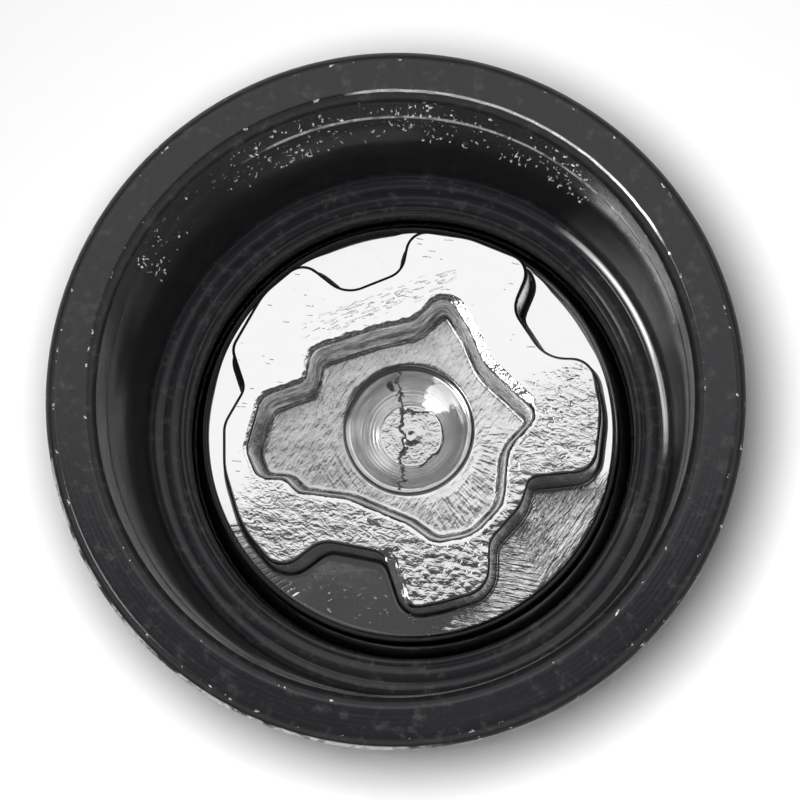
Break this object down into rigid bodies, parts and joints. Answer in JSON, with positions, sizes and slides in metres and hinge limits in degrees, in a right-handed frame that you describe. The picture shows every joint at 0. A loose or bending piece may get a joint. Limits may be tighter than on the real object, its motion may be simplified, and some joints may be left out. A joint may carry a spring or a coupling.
{
  "type": "locking wheel nut",
  "caption": "Wheel nut with a lobed key pattern in its head, a conical seat, a blind thread and a collar that spins freely.",
  "frame": {"origin": "on the axis, at the flat nose of the nut that it stands on", "axes": "+Z along the thread's axis towards the key pattern, +X to the right and +Y up in the key pattern as it is seen from above"},
  "size_m": [0.025, 0.025, 0.038],
  "materials": {
    "plated_steel": "satin",
    "black_steel": "satin",
    "spring_steel": "satin"
  },
  "bodies": {
    "nut": {"nut_body": "plated_steel", "retaining_ring": "spring_steel"},
    "collar": {"spinning_collar": "black_steel"}
  },
  "joints": [
    {"name": "collar_spin", "type": "hinge", "parent": "nut", "child": "collar", "pos_m": [0, 0, 0.015], "axis": [0, 0, 1], "continuous": true}
  ]
}
